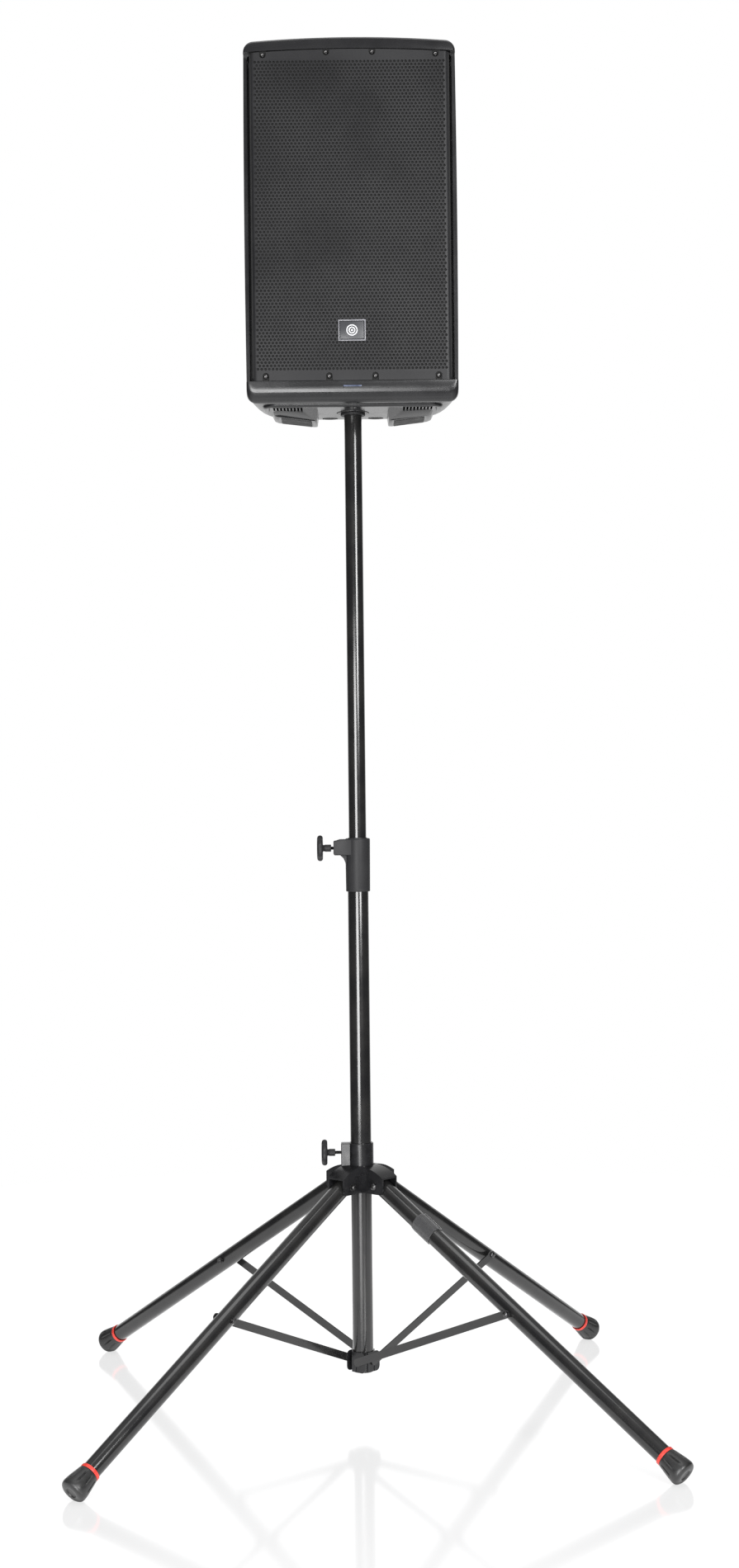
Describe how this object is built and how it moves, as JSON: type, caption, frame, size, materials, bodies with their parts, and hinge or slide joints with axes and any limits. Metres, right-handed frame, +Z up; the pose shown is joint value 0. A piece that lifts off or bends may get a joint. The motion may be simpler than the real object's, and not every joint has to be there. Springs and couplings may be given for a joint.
{
  "type": "pa speaker on stand",
  "caption": "Portable loudspeaker cabinet with a perforated front grille on a telescopic pole stand with folding braced legs.",
  "frame": {"origin": "on the floor under the pole's axis", "axes": "+Z up along the pole, the speaker's grille faces -Y, +X to the right of the grille seen from behind it"},
  "size_m": [1.0788, 1.0788, 2.481],
  "materials": {
    "satin_black_tube": "satin",
    "black_casting": "satin",
    "grey_black_plastic": "matte",
    "textured_black_shell": "fine texture",
    "grey_black_grille": "satin",
    "black_rubber": "matte",
    "red_ring": "satin",
    "zinc_steel": "bright",
    "black_steel": "satin",
    "cone_paper": "matte",
    "led_lens": "gloss",
    "circuit_board": "satin",
    "black_webbing": "matte"
  },
  "bodies": {
    "mast": {"lower_tube": "satin_black_tube", "clutch_collar": "grey_black_plastic", "clutch_bush": "black_rubber", "brace_collar": "black_casting"},
    "clutch_screw_knob": {"clutch_knob": "grey_black_plastic", "clutch_screw": "zinc_steel"},
    "hub_body": {"hub": "black_casting", "leg_bolt_front_left": "black_steel", "leg_bolt_front_right": "black_steel", "leg_bolt_rear_right": "black_steel", "leg_bolt_rear_left": "black_steel"},
    "hub_screw_knob": {"hub_knob": "grey_black_plastic", "hub_screw": "zinc_steel"},
    "upper_mast": {"upper_tube": "satin_black_tube", "upper_tube_foot": "grey_black_plastic"},
    "adapter": {"pole_adapter": "grey_black_plastic"},
    "cabinet": {"rear_shell": "textured_black_shell", "front_shell": "textured_black_shell", "grille": "grey_black_grille", "badge": "grey_black_plastic", "led_window": "led_lens", "horn": "grey_black_plastic", "compression_driver": "black_steel", "woofer_frame": "black_steel", "woofer_magnet": "black_steel", "woofer_surround": "black_rubber", "amp_panel": "grey_black_plastic", "amp_board": "circuit_board", "power_inlet": "grey_black_plastic", "input_jack_1": "grey_black_plastic", "input_jack_2": "grey_black_plastic", "pole_socket": "black_steel", "foot_pad_left": "black_rubber", "foot_pad_right": "black_rubber"},
    "cone": {"woofer_cone": "cone_paper"},
    "volume_1": {"volume_knob_1": "grey_black_plastic"},
    "volume_2": {"volume_knob_2": "grey_black_plastic"},
    "button": {"mode_button": "grey_black_plastic"},
    "rocker": {"power_switch": "grey_black_plastic"},
    "leg_front_left": {"leg_tube_front_left": "satin_black_tube", "foot_front_left": "black_rubber", "foot_ring_front_left": "red_ring", "brace_bolt_front_left": "zinc_steel"},
    "strut_front_left": {"brace_front_left": "satin_black_tube"},
    "leg_front_right": {"leg_tube_front_right": "satin_black_tube", "foot_front_right": "black_rubber", "foot_ring_front_right": "red_ring", "brace_bolt_front_right": "zinc_steel", "leg_strap": "black_webbing"},
    "strut_front_right": {"brace_front_right": "satin_black_tube"},
    "leg_rear_right": {"leg_tube_rear_right": "satin_black_tube", "foot_rear_right": "black_rubber", "foot_ring_rear_right": "red_ring", "brace_bolt_rear_right": "zinc_steel"},
    "strut_rear_right": {"brace_rear_right": "satin_black_tube"},
    "leg_rear_left": {"leg_tube_rear_left": "satin_black_tube", "foot_rear_left": "black_rubber", "foot_ring_rear_left": "red_ring", "brace_bolt_rear_left": "zinc_steel"},
    "strut_rear_left": {"brace_rear_left": "satin_black_tube"}
  },
  "joints": [
    {"name": "hub_slide", "type": "slide", "parent": "mast", "child": "hub_body", "axis": [0, 0, 1], "range_m": [0, 0.39875]},
    {"name": "clutch_screw_turn", "type": "hinge", "parent": "mast", "child": "clutch_screw_knob", "pos_m": [-0.0693, 0, 1.0352], "axis": [-1, 0, 0], "range_deg": [0, 360]},
    {"name": "hub_screw_turn", "type": "hinge", "parent": "hub_body", "child": "hub_screw_knob", "pos_m": [-0.0671, 0, 0.475], "axis": [-1, 0, 0], "range_deg": [0, 360]},
    {"name": "mast_slide", "type": "slide", "parent": "mast", "child": "upper_mast", "axis": [0, 0, 1], "range_m": [-0.68, 0.08]},
    {"name": "speaker_turn", "type": "hinge", "parent": "upper_mast", "child": "adapter", "pos_m": [0, 0, 1.88], "axis": [0, 0, 1], "continuous": true},
    {"name": "speaker_lift", "type": "slide", "parent": "adapter", "child": "cabinet", "axis": [0, 0, 1], "range_m": [0, 0.12]},
    {"name": "woofer_travel", "type": "slide", "parent": "cabinet", "child": "cone", "axis": [0, -1, 0], "range_m": [-0.006, 0.006], "stiffness_N_per_m": 4000},
    {"name": "volume_1_turn", "type": "hinge", "parent": "cabinet", "child": "volume_1", "pos_m": [-0.045, 0.1753, 2.265], "axis": [0, -1, 0], "range_deg": [-150, 150]},
    {"name": "volume_2_turn", "type": "hinge", "parent": "cabinet", "child": "volume_2", "pos_m": [0.045, 0.1753, 2.265], "axis": [0, -1, 0], "range_deg": [-150, 150]},
    {"name": "button_press", "type": "slide", "parent": "cabinet", "child": "button", "axis": [0, -1, 0], "range_m": [0, 0.002], "stiffness_N_per_m": 500, "springref_m": -0.001},
    {"name": "rocker_tip", "type": "hinge", "parent": "cabinet", "child": "rocker", "pos_m": [0.045, 0.1713, 2.04], "axis": [1, 0, 0], "range_deg": [0, 14]},
    {"name": "leg_fold_front_left", "type": "hinge", "parent": "hub_body", "child": "leg_front_left", "pos_m": [-0.03212, -0.03567, 0.41897], "axis": [0.7431, -0.6691, 0], "range_deg": [0, 54]},
    {"name": "brace_fold_front_left", "type": "hinge", "parent": "leg_front_left", "child": "strut_front_left", "pos_m": [-0.23637, -0.26251, 0.23191], "axis": [-0.7431, 0.6691, 0], "range_deg": [0, 111.26]},
    {"name": "leg_fold_front_right", "type": "hinge", "parent": "hub_body", "child": "leg_front_right", "pos_m": [0.03567, -0.03212, 0.41897], "axis": [0.6691, 0.7431, 0], "range_deg": [0, 54]},
    {"name": "brace_fold_front_right", "type": "hinge", "parent": "leg_front_right", "child": "strut_front_right", "pos_m": [0.26251, -0.23637, 0.23191], "axis": [-0.6691, -0.7431, 0], "range_deg": [0, 111.26]},
    {"name": "leg_fold_rear_right", "type": "hinge", "parent": "hub_body", "child": "leg_rear_right", "pos_m": [0.03212, 0.03567, 0.41897], "axis": [-0.7431, 0.6691, 0], "range_deg": [0, 54]},
    {"name": "brace_fold_rear_right", "type": "hinge", "parent": "leg_rear_right", "child": "strut_rear_right", "pos_m": [0.23637, 0.26251, 0.23191], "axis": [0.7431, -0.6691, 0], "range_deg": [0, 111.26]},
    {"name": "leg_fold_rear_left", "type": "hinge", "parent": "hub_body", "child": "leg_rear_left", "pos_m": [-0.03567, 0.03212, 0.41897], "axis": [-0.6691, -0.7431, 0], "range_deg": [0, 54]},
    {"name": "brace_fold_rear_left", "type": "hinge", "parent": "leg_rear_left", "child": "strut_rear_left", "pos_m": [-0.26251, 0.23637, 0.23191], "axis": [0.6691, 0.7431, 0], "range_deg": [0, 111.26]}
  ],
  "couplings": [
    {"joint": "leg_fold_front_left", "follows": "hub_slide", "rad_per_m": 2.3636},
    {"joint": "brace_fold_front_left", "follows": "hub_slide", "rad_per_m": 4.8698},
    {"joint": "leg_fold_front_right", "follows": "hub_slide", "rad_per_m": 2.3636},
    {"joint": "brace_fold_front_right", "follows": "hub_slide", "rad_per_m": 4.8698},
    {"joint": "leg_fold_rear_right", "follows": "hub_slide", "rad_per_m": 2.3636},
    {"joint": "brace_fold_rear_right", "follows": "hub_slide", "rad_per_m": 4.8698},
    {"joint": "leg_fold_rear_left", "follows": "hub_slide", "rad_per_m": 2.3636},
    {"joint": "brace_fold_rear_left", "follows": "hub_slide", "rad_per_m": 4.8698}
  ]
}
